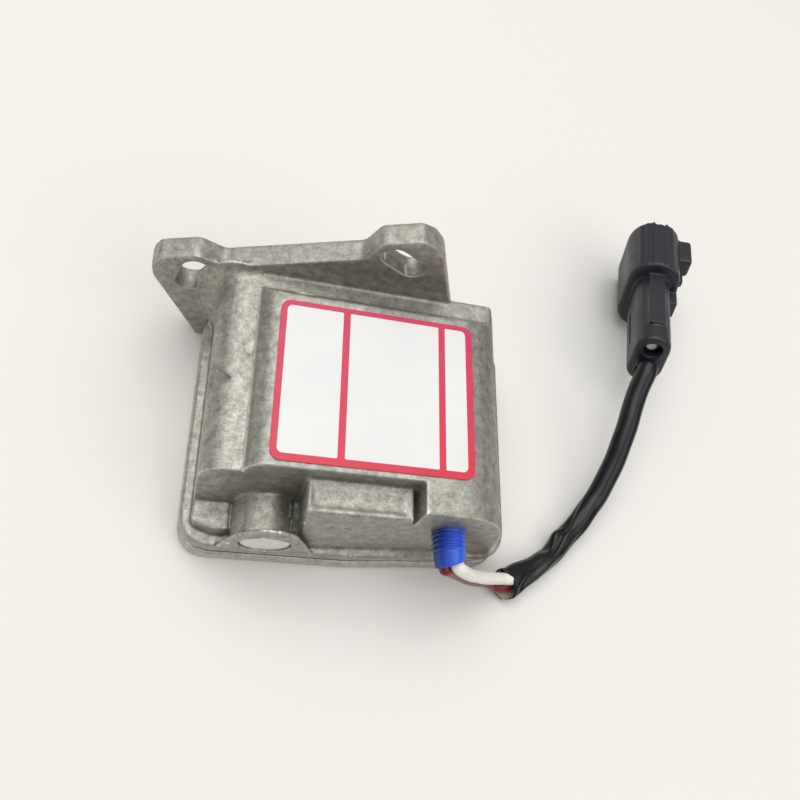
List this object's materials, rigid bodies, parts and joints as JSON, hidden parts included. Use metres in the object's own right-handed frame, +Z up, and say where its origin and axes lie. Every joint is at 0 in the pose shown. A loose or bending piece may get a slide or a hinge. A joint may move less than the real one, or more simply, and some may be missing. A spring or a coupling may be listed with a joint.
{
  "type": "engine governor actuator",
  "caption": "Rotary electric actuator for an engine governor: die-cast housing on a base cover, tilted two-eared mounting plate, output lever and a short sleeved lead with a sealed plug.",
  "frame": {"origin": "centre of the base cover's underside, on the surface it lies on", "axes": "+Z up out of the base cover towards the label; +Y from the front with the bearing plug to the mounting plate; +X to the right, towards the wide shoulder and the lead"},
  "size_m": [0.1714, 0.1243, 0.0623],
  "materials": {
    "cast_aluminium": "as cast, slightly rough",
    "cover_metal": "machined edge",
    "gasket_rubber": "matt",
    "screw_steel": "plated",
    "plug_steel": "pressed, bright",
    "bearing_steel": "ground",
    "cage_brass": "plain",
    "shaft_steel": "ground",
    "magnet_iron": "oiled",
    "spring_steel": "drawn",
    "bobbin_plastic": "moulded",
    "winding_copper": "enamelled copper",
    "seal_rubber": "matt",
    "lever_steel": "blackened",
    "label_film": "printed film",
    "gland_blue": "moulded",
    "wire_white": "extruded",
    "wire_red": "extruded",
    "sleeve_black": "vinyl",
    "plug_black": "moulded",
    "blade_brass": "plated",
    "lock_red": "moulded",
    "seal_silicone": "moulded"
  },
  "bodies": {
    "housing": {"housing": "cast_aluminium", "base_cover": "cover_metal", "gasket": "gasket_rubber", "cover_screw_1": "screw_steel", "cover_screw_2": "screw_steel", "cover_screw_3": "screw_steel", "cover_screw_4": "screw_steel", "core_plug": "plug_steel", "front_bearing_outer_ring": "bearing_steel", "rear_bearing_outer_ring": "bearing_steel", "front_bearing_cage": "cage_brass", "rear_bearing_cage": "cage_brass", "stator_core": "magnet_iron", "stop_pin": "shaft_steel", "return_spring": "spring_steel", "coil_bobbin": "bobbin_plastic", "coil_winding": "winding_copper", "shaft_seal": "seal_rubber", "label": "label_film", "cable_gland": "gland_blue", "white_wire": "wire_white", "red_wire": "wire_red", "lead_sleeve": "sleeve_black", "plug_housing": "plug_black", "plug_blade_1": "blade_brass", "plug_blade_2": "blade_brass", "blade_lock": "lock_red", "wire_seal_1": "seal_silicone", "wire_seal_2": "seal_silicone"},
    "rotor": {"output_shaft": "shaft_steel", "armature": "magnet_iron", "armature_pin": "shaft_steel", "front_bearing_inner_ring": "bearing_steel", "rear_bearing_inner_ring": "bearing_steel", "output_lever": "lever_steel", "drive_pin": "shaft_steel", "retaining_ring": "spring_steel"}
  },
  "joints": [
    {"name": "shaft_turn", "type": "hinge", "parent": "housing", "child": "rotor", "pos_m": [-0.02295, 0, 0.0187], "axis": [0, -1, 0], "range_deg": [0, 25], "stiffness_Nm_per_rad": 0.35, "springref_deg": -20.05}
  ]
}
